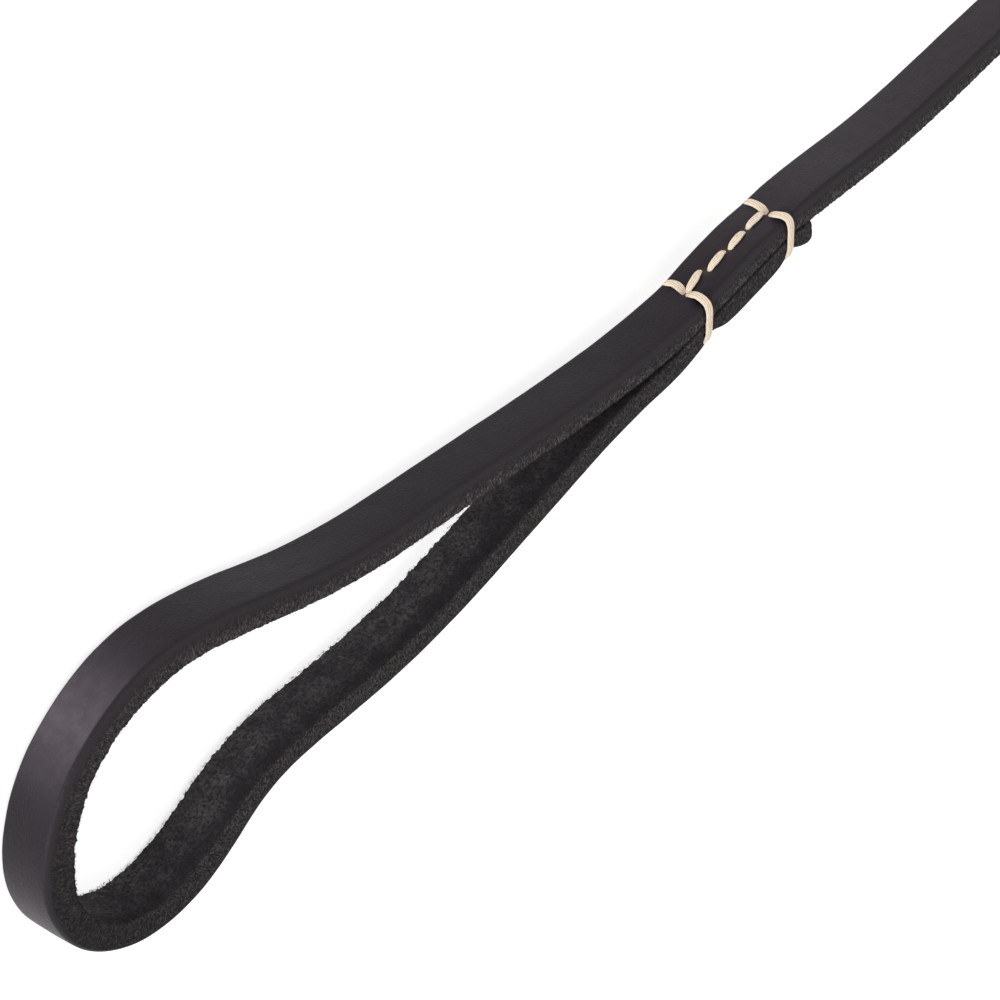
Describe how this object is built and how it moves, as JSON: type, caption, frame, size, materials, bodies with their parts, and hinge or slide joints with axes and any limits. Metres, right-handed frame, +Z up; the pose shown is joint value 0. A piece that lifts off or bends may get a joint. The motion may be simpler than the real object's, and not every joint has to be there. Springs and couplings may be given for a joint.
{
  "type": "riding crop",
  "caption": "Short riding crop: leather grip on a braided tapered shaft, sewn leather keeper at the tip, cap with a stitched leather wrist loop.",
  "frame": {"origin": "centre of the grip on the crop's axis", "axes": "+X towards the butt and the wrist loop, +Z up from the floor it lies on"},
  "size_m": [0.9183, 0.043, 0.0266],
  "materials": {
    "strap_leather": "waxed grain outside, rough flesh side and cut edges",
    "grip_leather": "fine pebbled grain, satin",
    "collar_leather": "plaited, satin",
    "keeper_leather": "waxed grain, satin",
    "ivory_thread": "waxed linen, plied",
    "whipping_thread": "waxed linen, wound",
    "braid": "braided nylon, slight sheen",
    "fibreglass": "resin, satin",
    "handle_wood": "turned, unfinished",
    "cap_plastic": "moulded, fine stipple",
    "nickel": "polished nickel"
  },
  "bodies": {
    "crop": {"shaft_core": "fibreglass", "shaft_cover": "braid", "handle_core": "handle_wood", "grip_cover": "grip_leather", "grip_seam_stitches": "ivory_thread", "collar_fore": "collar_leather", "collar_butt": "collar_leather", "butt_ferrule": "nickel", "butt_cap": "cap_plastic", "rivet_post": "nickel", "rivet_cap": "nickel", "strap_tail": "strap_leather", "keeper_tongue": "keeper_leather", "tip_whipping": "whipping_thread"},
    "strap": {"wrist_strap": "strap_leather", "binding_stitch_neck": "ivory_thread", "binding_stitch_loop": "ivory_thread", "saddle_stitches": "ivory_thread"},
    "keeper": {"keeper_leaf_upper": "keeper_leather", "keeper_leaf_lower": "keeper_leather", "keeper_stitches": "ivory_thread"}
  },
  "joints": [
    {"name": "strap_swing", "type": "hinge", "parent": "crop", "child": "strap", "pos_m": [0.09999, 0, 0.00154], "axis": [0, 0, 1], "range_deg": [-80, 80]},
    {"name": "keeper_flex", "type": "hinge", "parent": "crop", "child": "keeper", "pos_m": [-0.45795, 0, -0.00705], "axis": [0, 1, 0], "range_deg": [-45, 45], "stiffness_Nm_per_rad": 0.08}
  ]
}
